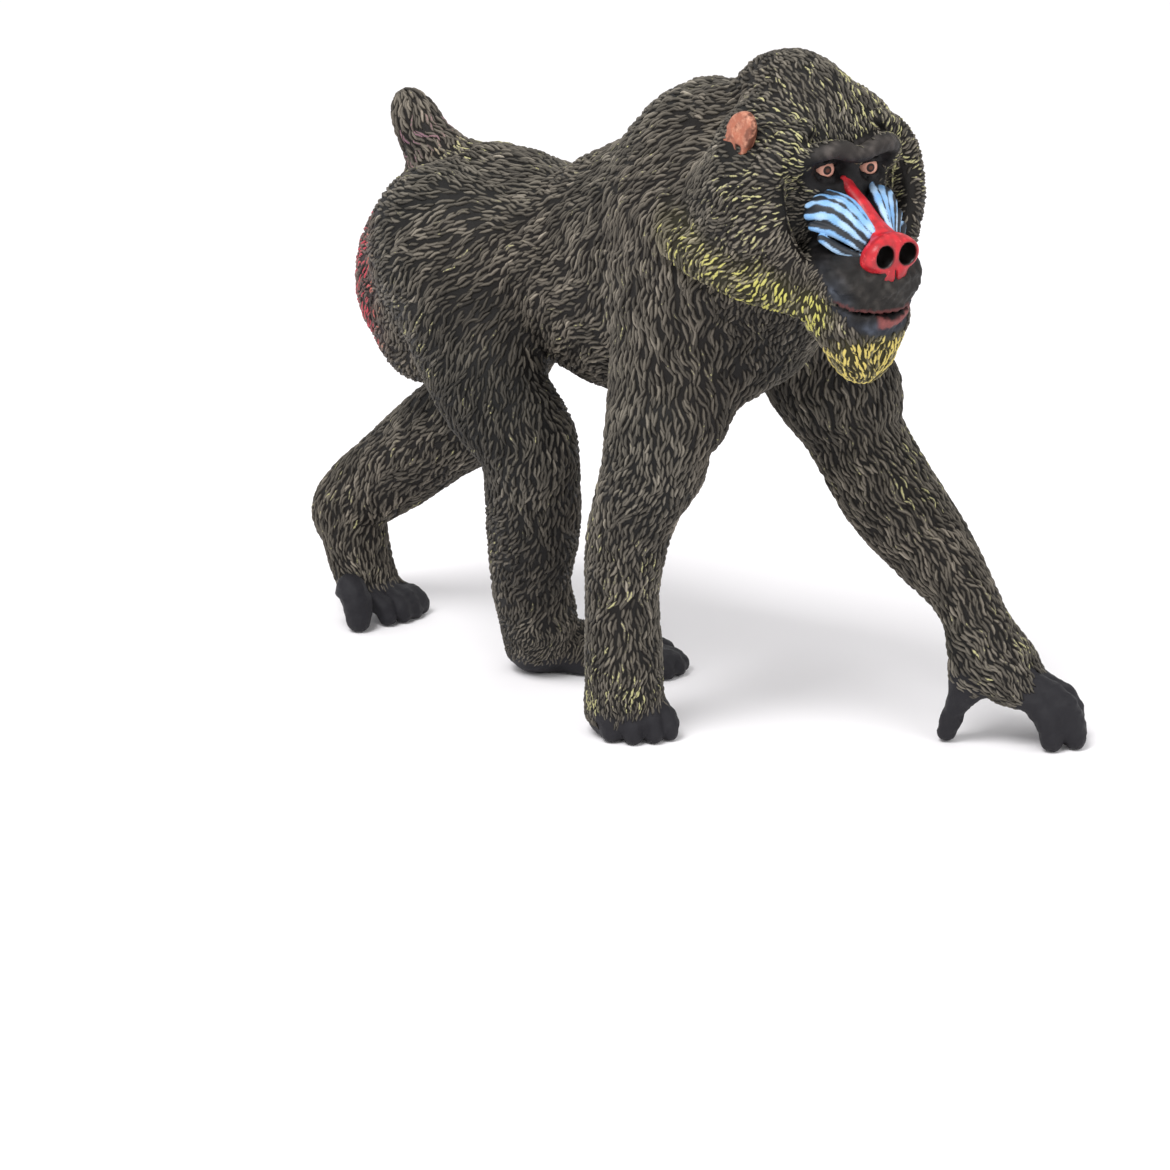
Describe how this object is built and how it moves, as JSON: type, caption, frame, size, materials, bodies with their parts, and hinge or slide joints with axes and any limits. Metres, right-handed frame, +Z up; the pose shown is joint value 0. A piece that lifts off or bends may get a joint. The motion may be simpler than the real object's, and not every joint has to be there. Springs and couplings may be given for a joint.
{
  "type": "mandrill figurine",
  "caption": "Moulded toy figurine of a walking male mandrill, painted, with engraved fur and one forelimb reaching forward; it stands on its own hands and feet.",
  "frame": {"origin": "on the floor, under the middle of the figurine's bounding box", "axes": "+X forward along the walking direction, +Y to the animal's left, +Z up from the floor"},
  "size_m": [0.1114, 0.0466, 0.0867],
  "materials": {
    "coat": "matte paint on soft PVC",
    "dark_skin": "satin paint on soft PVC",
    "yellow_paint": "matte paint on soft PVC",
    "red_paint": "satin paint on soft PVC",
    "blue_paint": "matte paint on soft PVC",
    "brown_paint": "matte paint on soft PVC",
    "eye_paint": "satin paint on soft PVC"
  },
  "bodies": {
    "root": {"torso": "coat", "shoulders": "coat", "neck": "coat", "head": "coat", "tail": "coat", "upper_arm_right": "coat", "upper_arm_left": "coat", "forearm_right": "coat", "forearm_left": "coat", "thigh_right": "coat", "thigh_left": "coat", "shank_right": "coat", "shank_left": "coat", "hand_right": "dark_skin", "hand_left": "dark_skin", "foot_right": "dark_skin", "foot_left": "dark_skin", "beard": "yellow_paint", "nose": "red_paint", "cheek_ridges_left": "blue_paint", "cheek_ridges_right": "blue_paint", "ear_left": "brown_paint", "ear_right": "brown_paint", "eye_left": "eye_paint", "eye_right": "eye_paint"}
  },
  "joints": []
}
